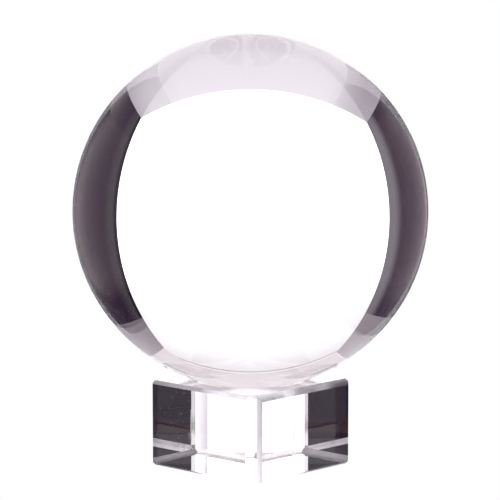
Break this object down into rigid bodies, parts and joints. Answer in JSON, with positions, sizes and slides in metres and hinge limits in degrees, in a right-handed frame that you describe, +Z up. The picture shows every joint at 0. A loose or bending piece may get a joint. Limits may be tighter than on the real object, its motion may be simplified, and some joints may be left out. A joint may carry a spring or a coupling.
{
  "type": "crystal ball",
  "caption": "Clear glass crystal ball resting in the ground seat of a clear bevelled glass block stand.",
  "frame": {"origin": "centre of the stand's base, on the surface it stands on", "axes": "+Z up through the centre of the ball; X and Y square to the stand's upright faces"},
  "size_m": [0.08, 0.08, 0.0976],
  "materials": {
    "ball_glass": "polished clear optical glass",
    "stand_glass": "polished clear glass with finely ground edge flats"
  },
  "bodies": {
    "stand": {"stand_block": "stand_glass"},
    "ball": {"ball": "ball_glass"}
  },
  "joints": [
    {"name": "ball_lift", "type": "slide", "parent": "stand", "child": "ball", "axis": [0, 0, 1], "range_m": [0, 0.015]}
  ]
}
